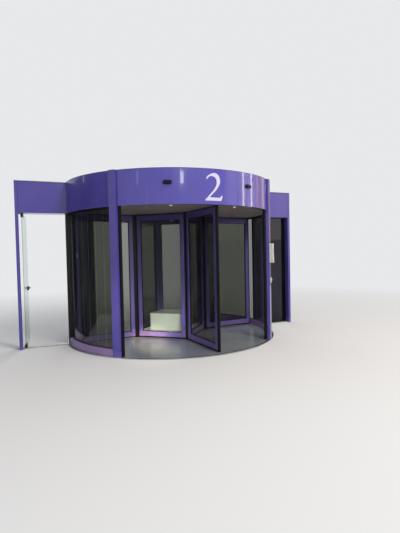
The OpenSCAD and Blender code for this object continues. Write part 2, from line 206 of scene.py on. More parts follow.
class Making:
    """Gathers the faces of one piece, in metres, where the CAD has it."""

    def __init__(self):
        self.mesh = bmesh.new()

    def loft(self, rings, closed=False):
        """A skin over rings of points. Closed joins the last to the first, or else both ends are capped."""
        rows = [[self.mesh.verts.new(point) for point in ring] for ring in rings]
        for low, high in zip(rows, rows[1:] + rows[:1] if closed else rows[1:]):
            for one, two in zip(range(len(low)), [*range(1, len(low)), 0]):
                self.mesh.faces.new((low[one], low[two], high[two], high[one]))
        if not closed:
            self.mesh.faces.new(rows[0][::-1])
            self.mesh.faces.new(rows[-1])

    def bar(self, outline, low, high, place=Matrix()):
        """A straight bar of that outline in X and Y, from one height to the other."""
        self.loft([[place @ Vector((x, y, z)) for x, y in outline] for z in (low, high)])

    def block(self, low, high, place=Matrix()):
        """A squared block between two corners, for fit() to round."""
        (x0, y0, z0), (x1, y1, z1) = low, high
        self.bar([(x0, y0), (x1, y0), (x1, y1), (x0, y1)], z0, z1, place)

    def turned(self, profile, place=Matrix(), sides=20):
        """A round body: profile holds its radii and heights."""
        self.loft([
            [place @ Vector((radius * math.cos(a), radius * math.sin(a), z)) for a in circle(sides)]
            for radius, z in profile
        ])

    def arc(self, section, start, end, step=1.2):
        """A section of radii and heights carried round the drum, between two angles in degrees."""
        steps = max(2, math.ceil(abs(end - start) / step))
        turns = [math.radians(start + (end - start) * i / steps) for i in range(steps + 1)]
        self.loft([[Vector((r * math.cos(a), r * math.sin(a), z)) for r, z in section] for a in turns])

    def fit(self, name, material, body, slot, *stands_for, bevel=0.0):
        """Makes the piece and rides it on its body, with its edges rounded by bevel in metres."""
        crease, corner = math.radians(32), math.radians(40)
        bmesh.ops.recalc_face_normals(self.mesh, faces=self.mesh.faces)
        mesh = bpy.data.meshes.new(name)
        self.mesh.to_mesh(mesh)
        self.mesh.free()
        mesh.shade_smooth()
        mesh.set_sharp_from_angle(angle=crease)
        mesh.materials.append(material)
        piece = bpy.data.objects.new(name, mesh)
        bpy.context.scene.collection.objects.link(piece)
        if bevel:
            edges = piece.modifiers.new("edges", "BEVEL")
            edges.width, edges.segments, edges.limit_method = bevel, 2, "ANGLE"
            edges.angle_limit, edges.harden_normals = corner, True
        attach(piece, body)
        if stands_for:
            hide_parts(*stands_for)
        return piece


def around(angle, radius=0.0, height=0.0):
    """A place on the drum: X points outward there, Y along the wall and Z up."""
    return Matrix.Rotation(math.radians(angle), 4, "Z") @ Matrix.Translation((radius, 0.0, height))


def screw(making, place, head=0.0045, rise=0.0008):
    """A low screw head with a socket, that looks along the place's Z."""
    profile = (
        (1.0, -0.0005), (1.0, rise * 0.4), (0.72, rise), (0.42, rise), (0.38, rise * 0.2), (0.1, rise * 0.1)
    )
    making.turned([(head * share, z) for share, z in profile], place, sides=12)


def brushed_steel(name, round_the_drum):
    """Steel brushed along X, or round the drum."""
    steel = Finish(name)
    if round_the_drum:
        grain = steel.point(steel.turn() * 14.0, steel.radius() * 900.0, steel.spot()["Z"] * 900.0)
    else:
        grain = steel.stretch((9.0, 900.0, 900.0))
    lines = steel.noise(1.0, 3.0, grain)
    grime = steel.noise(11.0, 6.0)
    tone = steel.blend(steel.band(lines, 0.3, 0.7), shade(168, 169, 170), shade(206, 206, 205))
    tone = steel.blend(steel.band(grime, 0.52, 0.8) * 0.5, tone, shade(120, 113, 104))
    return steel.surface({
        "Base Color": tone,
        "Metallic": 1.0,
        "Roughness": 0.24 + lines * 0.12 + steel.band(grime, 0.5, 0.8) * 0.2,
    }, lines, depth=0.00003)


steel_round = brushed_steel("brushed_edge", round_the_drum=True)
steel_straight = brushed_steel("brushed_strip", round_the_drum=False)
dress(steel_round, "floor_edge", "floor_bearing")
dress(steel_straight, "thresholds", "door_pivots")
floor_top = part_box("floor_disc")[1].z
edge_screw_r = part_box("floor_edge")[1].x - 0.023
threshold_screws_x, threshold_screws_y = (-2.54, -2.22, -1.92, 1.92, 2.22, 2.54), 0.058
screws = Making()
for angle in range(5, 360, 10):
    if angle % 90 != 45:
        screw(screws, around(angle, edge_screw_r, floor_top))
for x in threshold_screws_x:
    screw(screws, Matrix.Translation((x, threshold_screws_y, floor_top)))
screws.fit("edge_screws", steel_straight, "frame", "metal_trim")


# Skirts under the curved glass: aluminium sheet in the same purple stoving enamel as
# the whole door, here painted lighter and pinker as warm bounce light from the ground,
# faded at random, and pinker at the foot with dust and more painted bounce light.
def enamel(name, tone, sunned, streaks=0.0, foot=0.0, dusty=0.3, below=None):
    """Purple enamel. streaks is how much rain has marked it, foot the height in metres that the pink
    dust and painted warm bounce light reach, dusty their strength, and below the colour of the faces that
    look down."""
    paint = Finish(name)
    cloud = paint.noise(2.3)
    colour = paint.blend(paint.band(cloud, 0.3, 0.7) * 0.35, tone, sunned)
    rough = 0.2 + cloud * 0.06
    height = paint.spot()["Z"]
    if streaks:
        runs = paint.noise(1.0, 4.0, paint.point(paint.turn() * 46.0, height * 0.8))
        marks = paint.band(runs, 0.52, 0.78) * streaks
        colour = paint.blend(marks, colour, sunned)
        rough = rough + marks * 0.25
    if foot:
        # Pink towards the foot: partly dust, partly painted warm bounce light from the ground.
        dust_and_bounce_patches = 0.45 + 0.55 * paint.band(paint.noise(14.0, 6.0), 0.25, 0.8)
        dust = (1.0 - paint.band(height, 0.0, foot)) * dust_and_bounce_patches
        colour = paint.blend(dust * dusty, colour, shade(186, 148, 196))
        rough = rough + dust * 0.25
    if below:
        faces = paint.node("NewGeometry", output="Normal")
        downward = paint.node("SeparateXYZ", {}, {0: faces})["Z"] * -1.0
        colour = paint.blend(downward > 0.7, colour, below)
    return paint.surface({
        "Base Color": colour,
        "Roughness": rough,
        "Specular IOR Level": 0.35,
        "Coat Weight": 0.45,
        "Coat Roughness": 0.035,
    }, paint.noise(420.0, 2.0), depth=0.000012)


# Lighter, pinker purple than the rest of the door, with a strong pink foot: painted warm bounce light from
# the ground, partly dust.
skirt_enamel = enamel("skirt_enamel", shade(128, 112, 174), shade(157, 133, 187), foot=0.4, dusty=0.7)
dress(skirt_enamel, "wall_skirts")


# Curved side walls: two bent panes a side, laminated and smoked, that stand in
# black rubber on the skirt, run in a channel above and meet at an upright. The
# tint is darker than the smoke alone, as painted shade for the dark inside.
def smoked_and_shaded_glass(name, tint, film, lines=0.0):
    """Smoked glass, tinted darker than the smoke alone as painted shade for the dark inside. tint is what one
    face lets through, film how much its dust hides, and lines how dense the fine upright lines are that mark
    a bent pane on its outer face."""
    glass = Finish(name)
    smear = glass.noise(1.6, 6.0, glass.stretch((3.0, 3.0, 1.1)))
    slant = glass.node("LayerWeight", {}, {"Blend": 0.5}, "Facing")
    clear = glass.node("BsdfTransparent", {}, {"Color": tint})
    mirror = glass.node("BsdfGlossy", {}, {
        "Color": shade(250, 253, 252), "Roughness": 0.012 + glass.band(smear, 0.45, 0.8) * 0.05
    })
    pane = glass.node("MixShader", {}, {0: 0.03 + (slant ** 5.0) * 0.85, 1: clear, 2: mirror})
    dust = glass.node("BsdfDiffuse", {}, {"Color": shade(196, 192, 184)})
    veil = glass.band(smear, 0.42, 0.85) * film
    if lines:
        spot = glass.spot()
        along = spot["Y"].apply("ABSOLUTE").apply("ARCTAN2", spot["X"].apply("ABSOLUTE")) * bent_glass_r
        beside = (pane_end - along).apply("PINGPONG", line_step / 2)
        line = 1.0 - glass.band(beside, line_half - line_blur, line_half + line_blur)
        veil = veil + line * (glass.radius() > bent_glass_r) * lines
    pane = glass.node("MixShader", {}, {0: veil, 1: pane, 2: dust})
    path = glass.node("LightPath")
    lit = path["Is Shadow Ray"].apply("MAXIMUM", path["Is Diffuse Ray"])
    open_to_light = glass.node("BsdfTransparent", {}, {"Color": shade(250, 252, 251)})
    pane = glass.node("MixShader", {}, {0: lit, 1: pane, 2: open_to_light})
    glass.node("OutputMaterial", {}, {"Surface": pane})
    return glass.owner


bent_glass_r, pane_end = 1.776, 1.336
line_step, line_half, line_blur = 0.175, 0.0014, 0.00056
# The wall panes' tint is darker than the smoke alone: painted shade for the dark inside.
wall_glass = smoked_and_shaded_glass("wall_glass", (0.53, 0.54, 0.52, 1.0), film=0.02, lines=0.45)
dress(wall_glass, "left_glass", "right_glass")
panes_in_line = 24
bpy.context.scene.cycles.transparent_max_bounces = 2 * panes_in_line

anodised = Finish("black_anodised")
satin = anodised.noise(60.0, 3.0)
black_metal = anodised.surface({
    "Base Color": anodised.blend(anodised.band(satin, 0.3, 0.8), shade(9, 9, 12), shade(17, 16, 21)),
    "Roughness": 0.3 + satin * 0.14,
    "Specular IOR Level": 0.35,
}, satin, depth=0.00001)
dress(black_metal, "glass_channels", "wall_mullions")

rubber = Finish("black_rubber")
bloom = rubber.noise(18.0, 5.0)
black_rubber = rubber.surface({
    "Base Color": rubber.blend(rubber.band(bloom, 0.4, 0.8) * 0.6, shade(10, 10, 12), shade(26, 25, 27)),
    "Roughness": 0.52 + bloom * 0.22,
    "Specular IOR Level": 0.22,
}, rubber.noise(500.0, 2.0), depth=0.00003)

glass_low, glass_high = heights("left_glass")
bead_back_r, bead_front_r, bead_nose_r, bead_start, bead_end = 1.781, 1.79, 1.788, 0.85, 43.1
beads = Making()
for middle in (0.0, 180.0):
    for start, end in ((-bead_end, -bead_start), (bead_start, bead_end)):
        for edge, tip in ((glass_low, glass_low + 0.012), (glass_high, glass_high - 0.011)):
            nose = (bead_nose_r, edge * 0.3 + tip * 0.7)
            section = [(bead_back_r, edge), (bead_front_r, edge), nose, (bead_back_r, tip)]
            beads.arc(section, middle + start, middle + end)
beads.fit("wall_glass_beads", black_rubber, "frame", "black_rubber")

# Entrance posts: square aluminium casings in purple enamel that stand on the
# floor and carry the canopy. Their outer faces stand proud of the fascia.
purple, lilac = shade(76, 68, 157), shade(98, 85, 168)
post_enamel = enamel("post_enamel", purple, lilac, foot=0.12, dusty=0.2)
dress(post_enamel, "front_left_post", "front_right_post", "rear_left_post", "rear_right_post")

# Safety profiles on the opening side of the posts: hollow black rubber with fine
# ribs on its nose, pushed on to an anodised carrier over the whole height.
band_low, band_high = heights("front_fascia")
profile_r, profile_d, post_half, carrier_w, end_play = 1.772, 0.046, 0.0575, 0.017, 0.0005
ribs, rib_height, nose_steps = 9, 0.0006, 36
groove_d, groove_low, groove_high, groove_slope = 0.002, 0.005, 0.01, 0.001
carrier = [
    (0.0, 0.0), (profile_d, 0.0), (profile_d, groove_low), (profile_d - groove_d, groove_low + groove_slope),
    (profile_d - groove_d, groove_high - groove_slope), (profile_d, groove_high), (profile_d, carrier_w),
    (0.0, carrier_w)
]
nose = []
for step in range(nose_steps + 1):
    swing = math.pi * step / nose_steps
    reach = profile_d / 2 - 0.0004 - rib_height * math.cos(2 * ribs * swing)
    nose.append((profile_d / 2 + reach * math.cos(swing), carrier_w + reach * math.sin(swing)))
edges = Making()
for angle, toward in ((-135.0, 1.0), (-45.0, -1.0), (45.0, 1.0), (135.0, -1.0)):
    for outline in (carrier, nose):
        across = [(x, toward * (post_half + y)) for x, y in outline]
        edges.bar(across, floor_top + end_play, band_low - end_play, around(angle, profile_r))
edges.fit("safety_profiles", black_rubber, "frame", "black_rubber", "safety_edges")

# Canopy band: four curved fascia sheets, each folded in at the top and bottom,
# with a rolled hem on both edges and black sealant where they meet the posts.
soffit_grey = shade(113, 109, 111)
# The sheets' purple is a lighter copy of the posts' and headers' purple: painted light that makes up for the
# band's weaker bounce from the floor.
sheet_enamel = enamel(
    "sheet_enamel", shade(80, 73, 166), shade(103, 91, 177), streaks=0.25, below=soffit_grey
)
dress(sheet_enamel, "front_fascia", "rear_fascia", "left_fascia", "right_fascia")
fascia_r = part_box("right_fascia")[1].x
hem_r, hem_middle_r, hem_end, joint_end = 0.0032, fascia_r - 0.0005, 43.15, 43.12
joint_outline = [(-0.003, -0.002), (0.0012, -0.002), (0.0018, 0.0), (0.0012, 0.002), (-0.003, 0.002)]
hems, sealant = Making(), Making()
for middle in (-90.0, 0.0, 90.0, 180.0):
    for height in (band_low + hem_r, band_high - hem_r):
        section = [(hem_middle_r + hem_r * math.cos(a), height + hem_r * math.sin(a)) for a in circle(10)]
        hems.arc(section, middle - hem_end, middle + hem_end)
    for angle in (middle - joint_end, middle + joint_end):
        sealant.bar(joint_outline, band_low, band_high, around(angle, fascia_r))
hems.fit("fascia_hems", sheet_enamel, "frame", "purple_paint")
sealant.fit("fascia_sealant", black_rubber, "frame", "black_rubber")


# House number on the front band: a plain 2 cut from white enamelled sheet, 2 mm
# thick and bent to the curve, with a thin start, a full bowl and a broad foot.
def smooth(points, steps=5):
    """More points on a smooth curve through these."""
    ends = [points[0], *points, points[-1]]
    made = []
    for a, b, c, d in zip(ends, ends[1:], ends[2:], ends[3:]):
        for t in (i / steps for i in range(steps)):
            made.append(tuple(
                0.5 * (2 * q + (r - p) * t + (2 * p - 5 * q + 4 * r - s) * t ** 2
                       + (3 * q - p - 3 * r + s) * t ** 3)
                for p, q, r, s in zip(a, b, c, d)
            ))
    return made + [points[-1]]


outer_side = smooth([
    (27, 318), (31, 334), (50, 356), (88, 380), (130, 395), (160, 398), (188, 392), (213, 376), (235, 348),
    (246, 315), (247, 280), (238, 243), (217, 203), (191, 167), (154, 127), (116, 91), (80, 54)
])
foot_top = smooth([(80, 50), (120, 48), (180, 47), (243, 48)])
foot_tip = smooth([(246, 50), (258, 64), (268, 78), (285, 76)])
foot_end = smooth([(285, 76), (280, 44), (269, 16), (257, 0)])
inner_side = smooth([
    (6, 14), (50, 58), (92, 101), (133, 146), (160, 181), (180, 216), (191, 251), (190, 284), (177, 320),
    (150, 343), (116, 353), (80, 347), (57, 330), (44, 312), (36, 307), (28, 310)
])
heel_corner = [(4, 0), (0, 8)]
outline_mm = outer_side + foot_top[1:] + foot_tip + foot_end[1:] + heel_corner + inner_side
number_x, number_z, number_t, bend_step, bends = 0.0935, 2.2535, 0.002, 0.012, 24
plate_back_r = fascia_r + 0.0002
number = Making()
plate = number.mesh
plate.faces.new([plate.verts.new((x / 1000, 0.0, z / 1000)) for x, z in outline_mm])
plate.normal_update()
bmesh.ops.triangulate(plate, faces=plate.faces[:])
for step in range(1, bends):
    bmesh.ops.bisect_plane(
        plate, geom=plate.verts[:] + plate.edges[:] + plate.faces[:],
        plane_co=(step * bend_step, 0.0, 0.0), plane_no=(1.0, 0.0, 0.0)
    )
for vertex in plate.verts:
    turn = (vertex.co.x - number_x) / fascia_r
    vertex.co = (plate_back_r * math.sin(turn), -plate_back_r * math.cos(turn), number_z + vertex.co.z)
for vertex in bmesh.ops.extrude_face_region(plate, geom=plate.faces[:])["geom"]:
    if isinstance(vertex, bmesh.types.BMVert):
        vertex.co.xy *= (plate_back_r + number_t) / plate_back_r
white = Finish("white_enamel")
chalk = white.noise(9.0, 5.0)
white_enamel = white.surface({
    "Base Color": white.blend(white.band(chalk, 0.4, 0.8) * 0.5, shade(216, 213, 236), shade(196, 193, 222)),
    "Roughness": 0.28 + chalk * 0.12,
}, white.noise(300.0, 2.0), depth=0.00002)
number.fit("number_two", white_enamel, "frame", "off_white")


# Motion sensors over the entrances: long black moulded housings, each with a
# dark gloss window, screwed to the curved band in pairs.
def capsule(width, height, points=9):
    """A round-ended outline, along and up."""
    radius, reach = height / 2, (width - height) / 2
    turns = [math.pi * (i / (points - 1) - 0.5) for i in range(points)]
    right = [(reach + radius * math.cos(a), radius * math.sin(a)) for a in turns]
    return right + [(-x, -y) for x, y in right]


sensor_z = sum(heights("motion_sensors")) / 2
pair_middle, pair_half = 1.2, 20.9
housing_layers = (-0.002, 0.13, 0.056), (0.017, 0.13, 0.056), (0.023, 0.1275, 0.0535), (0.0262, 0.122, 0.048)
window_layers = (0.025, 0.098, 0.026), (0.0268, 0.098, 0.026), (0.0276, 0.095, 0.023)
housings, windows = Making(), Making()
for front in (-90.0, 90.0):
    for turn in (pair_middle - pair_half, pair_middle + pair_half):
        place = around(front + turn, fascia_r, sensor_z)
        for making, layers in ((housings, housing_layers), (windows, window_layers)):
            making.loft([
                [place @ Vector((out, y, z)) for y, z in capsule(wide, high)] for out, wide, high in layers
            ])
moulded = Finish("black_moulded")
grain = moulded.noise(700.0, 2.0)
scuffs = moulded.band(moulded.noise(30.0), 0.4, 0.8)
black_moulding = moulded.surface({
    "Base Color": moulded.blend(scuffs, shade(16, 15, 20), shade(28, 27, 34)),
    "Roughness": 0.38 + grain * 0.1,
    "Specular IOR Level": 0.12,
}, grain, depth=0.00005)
gloss = Finish("dark_window")
dark_window = gloss.surface({
    "Base Color": gloss.blend(gloss.noise(24.0), shade(20, 12, 24), shade(44, 26, 46)),
    "Roughness": 0.07 + gloss.noise(40.0) * 0.08,
    "Specular IOR Level": 0.16,
})
housings.fit("sensor_housings", black_moulding, "frame", "black_trim", "motion_sensors")
windows.fit("sensor_windows", dark_window, "frame", "black_trim")

# Ceiling inside the drum: matt grey panels on the fascia's returns, in six sectors
# with dark joints between them, and small flat lamps near the entrances.
sectors, first_sector, joint_half, joint_blur = 6, 6.25, 0.002, 0.0008
ceiling = Finish("ceiling_paint")
from_joint = (ceiling.turn() * (sectors / math.tau) + first_sector).apply("FRACT") - 0.5
apart = from_joint.apply("ABSOLUTE") * ceiling.radius() * (math.tau / sectors)
joint = 1.0 - ceiling.band(apart, joint_half - joint_blur, joint_half + joint_blur)
haze = ceiling.noise(4.0, 6.0)
warm_grey = ceiling.blend(ceiling.band(haze, 0.3, 0.75), shade(138, 128, 128), shade(165, 151, 144))
ceiling_paint = ceiling.surface({
    "Base Color": ceiling.blend(joint * 0.8, warm_grey, shade(38, 36, 38)),
    "Roughness": 0.48 + haze * 0.2,
}, ceiling.noise(260.0, 3.0) * 0.3 - joint, depth=0.0002)
dress(ceiling_paint, "ceiling")

lamp_r, lamp_turn, lamp_sides, upside_down = 1.655, 18.4, 28, Matrix.Rotation(math.pi, 4, "X")
trim_profile = [(0.03, -0.0004), (0.03, 0.0008), (0.027, 0.0015), (0.0225, 0.0015), (0.0215, 0.0004)]
lens_profile = [(0.0212, 0.0002), (0.0205, 0.0011), (0.01, 0.0014)]
trims, lenses = Making(), Making()
for front in (-90.0, 90.0):
    for turn in (-lamp_turn, lamp_turn):
        place = around(front + turn, lamp_r, heights("ceiling")[0]) @ upside_down
        trims.turned(trim_profile, place, lamp_sides)
        lenses.turned(lens_profile, place, lamp_sides)
glow = Finish("lamp_lens")
lamp_lens = glow.surface({
    "Base Color": glow.blend(glow.noise(90.0), shade(226, 226, 220), shade(244, 244, 238)),
    "Roughness": 0.35,
    "Emission Color": shade(255, 248, 236),
    "Emission Strength": 2.2,
})
trims.fit("lamp_trims", steel_round, "frame", "metal_trim")
lenses.fit("lamp_lenses", lamp_lens, "frame", "off_white")


# Cover of the canopy: four quarter sheets of grey coated steel, closed by darker
# cover strips and a centre plate that are screwed down along both edges.
def coated_steel(name, clean, dusty):
    """Coated sheet, with dust lying on it in clouds."""
    coat = Finish(name)
    weather = coat.noise(2.6, 8.0)
    return coat.surface({
        "Base Color": coat.blend(coat.band(weather, 0.3, 0.75), clean, dusty),
        "Roughness": 0.42 + weather * 0.25,
    }, coat.noise(120.0), depth=0.00005)


roof_low, roof_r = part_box("roof_cover")[0].z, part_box("roof_cover")[1].x
sheet_top, strip_low, strip_top = roof_low + 0.0021, roof_low + 0.0023, roof_low + 0.003
open_seam, heart_r, rim_steps = 0.12, 0.005, 60
strip_start, strip_end, strip_half, centre_r = 0.18, 1.81, 0.03, 0.2
screw_start, screw_pitch, screw_row, screw_head = 0.3, 0.18, 0.019, 0.005
roof, strips, roof_screws = Making(), Making(), Making()
for quarter in (0, 90, 180, 270):
    start, end = math.radians(quarter + open_seam), math.radians(quarter + 90 - open_seam)
    rim = [start + (end - start) * i / rim_steps for i in range(rim_steps + 1)]
    heart = (heart_r * math.cos((start + end) / 2), heart_r * math.sin((start + end) / 2))
    roof.bar([heart] + [(roof_r * math.cos(a), roof_r * math.sin(a)) for a in rim], roof_low, sheet_top)
    place = around(quarter)
    strips.block((strip_start, -strip_half, strip_low), (strip_end, strip_half, strip_top), place)
    for step in range(9):
        for way in (-screw_row, screw_row):
            spot = Matrix.Translation((screw_start + step * screw_pitch, way, strip_top))
            screw(roof_screws, place @ spot, screw_head, rise=0.0006)
centre_plate = [(centre_r, strip_low), (centre_r, strip_top), (centre_r - 0.002, strip_top + 0.0002)]
strips.turned(centre_plate, sides=48)
for angle in range(0, 360, 45):
    screw(roof_screws, around(angle + 22.5, centre_r - 0.03, strip_top + 0.0001), screw_head, rise=0.0005)
roof_coating = coated_steel("roof_coating", shade(138, 137, 136), shade(150, 147, 142))
strip_coating = coated_steel("strip_coating", shade(92, 92, 95), shade(108, 106, 104))
roof.fit("roof_sheets", roof_coating, "frame", "ceiling_paint", "roof_cover")
strips.fit("roof_strips", strip_coating, "frame", "metal_trim")
roof_screws.fit("roof_screws", steel_straight, "frame", "metal_trim")

# Side bays: purple headers coped to the round band, outer jambs and slim black
# inner jambs. The right bay holds a fixed pane in black rubber.
bay_enamel = enamel("bay_enamel", purple, lilac, foot=0.15, dusty=0.2)
dress(bay_enamel, "left_header", "right_header", "outer_jambs")
dress(black_metal, "inner_jambs")
# The bay pane is tinted almost black: painted shade for the dark inside behind it.
bay_glass = smoked_and_shaded_glass("bay_glass", (0.12, 0.11, 0.145, 1.0), film=0.012)
dress(bay_glass, "right_bay_glass")


def glazing_bead(making, section, low, high, place=Matrix()):
    """A mitred rubber bead round a pane's edge, on both faces, between two corners in X and Z.
    section holds how far each point is in from the edge, and off the pane's middle."""
    (x0, z0), (x1, z1) = low, high
    corners = (x0, z0, 1, 1), (x1, z0, -1, 1), (x1, z1, -1, -1), (x0, z1, 1, -1)
    for way in (-1.0, 1.0):
        making.loft([
            [place @ Vector((x + i * inset, way * off, z + k * inset)) for inset, off in section]
            for x, z, i, k in corners
        ], closed=True)


bay_low, bay_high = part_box("right_bay_glass")
bay_middle_y = (bay_low.y + bay_high.y) / 2
bay_beads = Making()
glazing_bead(bay_beads, [(0.0, 0.0062), (0.012, 0.0062), (0.01, 0.013), (0.0, 0.017)],
             bay_low.xz, bay_high.xz, Matrix.Translation((0.0, bay_middle_y, 0.0)))
bay_beads.fit("bay_glass_beads", black_rubber, "frame", "black_rubber")

pale_seal = Finish("pale_sealant")
ripple = pale_seal.noise(40.0)
pale_sealant = pale_seal.surface({
    "Base Color": pale_seal.blend(ripple, shade(196, 196, 206), shade(170, 168, 180)),
    "Roughness": 0.5,
}, ripple, depth=0.0004)
header_low, header_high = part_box("right_header")
header_y, header_in, header_out = header_low.y + 0.0005, fascia_r - 0.0015, header_high.x
bead_z, bead_out, bead_up = band_high - 0.003, 0.004, 0.0058
seam_low, seam_d, seam_high = band_high - 0.017, 0.0013, band_high - 0.009
seam = [(0.0, seam_low), (seam_d, seam_low + 0.001), (seam_d, seam_high - 0.001), (0.0, seam_high)]
jamb_seam = [(-0.002, 0.0), (-0.0015, 0.0011), (0.0015, 0.0011), (0.002, 0.0)]
top_seal, header_joints = Making(), Making()
bead = [(bead_out * math.sin(a), bead_z + bead_up * math.cos(a)) for a in circle(12)]
for ends in ((-header_out, -header_in), (header_in, header_out)):
    for making, section in ((top_seal, bead), (header_joints, seam)):
        making.loft([[Vector((x, header_y - out, z)) for out, z in section] for x in ends])
for x in (-bay_high.x, bay_high.x):
    outline = [(x + aside, header_y - out) for aside, out in jamb_seam]
    header_joints.bar(outline, band_low + 0.0005, seam_low)
top_seal.fit("header_sealant", pale_sealant, "frame", "off_white")
header_joints.fit("header_joints", black_rubber, "frame", "black_rubber")

# Pass door in the left bay: a frameless leaf of toughened glass that hangs in two
# black corner patches on pivots, with a lock case and a lever on each face.
leaf_open = 85.0
pivot_low, pivot_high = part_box("door_pivots")
pivot_x, pivot_y = (pivot_low.x + pivot_high.x) / 2, (pivot_low.y + pivot_high.y) / 2
hinge = Matrix.Translation((pivot_x, pivot_y, 0.0)) @ around(leaf_open)
leaf_glass = smoked_and_shaded_glass("leaf_glass", (0.74, 0.78, 0.77, 1.0), film=0.04)
dress(leaf_glass, "door_leaf")


def facing(x, y, z, way=1.0):
    """A place on an upright face, whose Z looks along Y, to that way."""
    return Matrix.Translation((x, y, z)) @ Matrix.Rotation(-way * math.pi / 2, 4, "X")


patch_low, patch_high = heights("door_patches")
patch_l, patch_h, patch_half, heel_r = 0.16, 0.05, 0.017, 0.045
heart_half, heart_in_x, heart_in_z = 0.0085, 0.002, 0.0015
plate_in, plate_out, screw_sunk = 0.0087, 0.0168, 0.0002
heel = math.sqrt(heel_r ** 2 - patch_half ** 2)
patches = Making()
for low in (patch_low, patch_high - patch_h):
    start, end, high = -heel, patch_l - heel, low + patch_h
    patches.block((start + heart_in_x, -heart_half, low + heart_in_z),
                  (end - heart_in_x, heart_half, high - heart_in_z), hinge)
    for way in (-1.0, 1.0):
        inner, outer = sorted((way * plate_in, way * plate_out))
        patches.block((start, inner, low), (end, outer, high), hinge)
        for x in (0.012, 0.098):
            place = hinge @ facing(x, way * (plate_out - screw_sunk), (low + high) / 2, way)
            patches.turned([(0.008, -0.001), (0.008, 0.0002), (0.0072, 0.0004), (0.003, 0.0002)], place, 16)
patches.fit("leaf_patches", black_metal, "pass_door", "black_trim", "door_patches", bevel=0.0012)


def rod(making, path, radii, sides=14):
    """A round bar of changing radius along a path."""
    rings = []
    for i, (point, radius) in enumerate(zip(path, radii)):
        along = (path[min(i + 1, len(path) - 1)] - path[max(i - 1, 0)]).normalized()
        one = along.cross(Vector((0.0, 0.0, 1.0))).normalized()
        two = along.cross(one)
        rings.append([
            point + one * radius * math.cos(a) + two * radius * math.sin(a) for a in circle(sides)
        ])
    making.loft(rings)


case_low, case_high = heights("door_handle")
case_x, case_half, case_in, case_out = 0.566, 0.055, 0.0062, 0.0195
lever_x, lever_z, lock_x, lock_z = case_x + 0.012, 0.948, case_x - 0.03, 0.932
rose_profile = [(0.0215, -0.001), (0.0215, 0.004), (0.0195, 0.006), (0.012, 0.007)]
lock_profile = [(0.0095, -0.001), (0.0095, 0.003), (0.0085, 0.004), (0.002, 0.0035)]
# The lever's middle line from its rose to its tip: along and out of the leaf, and its radius.
lever_bend = [
    (0.012, 0.022, 0.0085), (0.012, 0.034, 0.0085), (0.011, 0.039, 0.0085), (0.007, 0.0428, 0.0083),
    (0.001, 0.044, 0.0082), (-0.03, 0.0438, 0.008), (-0.06, 0.043, 0.0078), (-0.084, 0.0415, 0.0075),
    (-0.09, 0.0395, 0.0073), (-0.0935, 0.036, 0.0068), (-0.094, 0.033, 0.005)
]
levers = Making()
for way in (-1.0, 1.0):
    inner, outer = sorted((way * case_in, way * case_out))
    levers.block((case_x - case_half, inner, case_low), (case_x + case_half, outer, case_high), hinge)
    levers.turned(rose_profile, hinge @ facing(lever_x, way * case_out, lever_z, way), 26)
    levers.turned(lock_profile, hinge @ facing(lock_x, way * case_out, lock_z, way), 18)
    path = [hinge @ Vector((case_x + x, way * y, lever_z)) for x, y, radius in lever_bend]
    rod(levers, path, [radius for x, y, radius in lever_bend])
levers.fit("leaf_levers", black_metal, "pass_door", "black_trim", "door_handle", bevel=0.0015)

# Control box on the outer face of the right front post: an off-white moulded case
# with a cover, a flap over the lower part and a lock. A push button sits below it.
on_post = around(-45.0, 1.87)


def outward(x, y, z):
    """A place on the post, whose Z looks straight out of it."""
    return on_post @ Matrix.Translation((x, y, z)) @ Matrix.Rotation(math.pi / 2, 4, "Y")


box_low, box_high = heights("control_box")
box_half, shadow_in, flap_top, cover_low = 0.045, 0.0025, 1.44, 1.442
back_d, shadow_d, cover_back, cover_d, flap_d = 0.026, 0.034, 0.0278, 0.056, 0.0598
button_low, button_z, button_high, button_half, button_d = 0.972, 1.016, 1.06, 0.03, 0.016
case = Making()
for low, high in (
    ((0.0, -box_half, box_low), (back_d, box_half, box_high)),
    ((0.02, -box_half + shadow_in, box_low + shadow_in),
     (shadow_d, box_half - shadow_in, box_high - shadow_in)),
    ((cover_back, -box_half, cover_low), (cover_d, box_half, box_high)),
    ((cover_back, -box_half, box_low), (flap_d, box_half, flap_top)),
    ((0.0, -button_half, button_low), (button_d, button_half, button_high)),
):
    case.block(low, high, on_post)
button = outward(button_d, 0.0, button_z)
case.turned([(0.021, -0.001), (0.021, 0.004), (0.0195, 0.0055), (0.018, 0.0055)], button, 26)
case.turned([(0.0165, 0.0), (0.0165, 0.01), (0.014, 0.0125), (0.006, 0.0134)], button, 26)
moulding = Finish("off_white_case")
dirt = moulding.noise(12.0, 6.0)
grubby = moulding.band(dirt, 0.42, 0.8) * 0.6
off_white = moulding.surface({
    "Base Color": moulding.blend(grubby, shade(214, 216, 206), shade(186, 184, 170)),
    "Roughness": 0.32 + dirt * 0.2,
}, moulding.noise(500.0, 2.0), depth=0.00004)
case.fit("control_case", off_white, "frame", "off_white", "control_box", bevel=0.004)
key_lock = Making()
key_place = outward(cover_d, 0.024, 1.478)
key_lock.turned([(0.0085, -0.001), (0.0085, 0.0022), (0.0075, 0.003), (0.0012, 0.0026)], key_place, 18)
key_lock.fit("case_lock", steel_straight, "frame", "metal_trim")

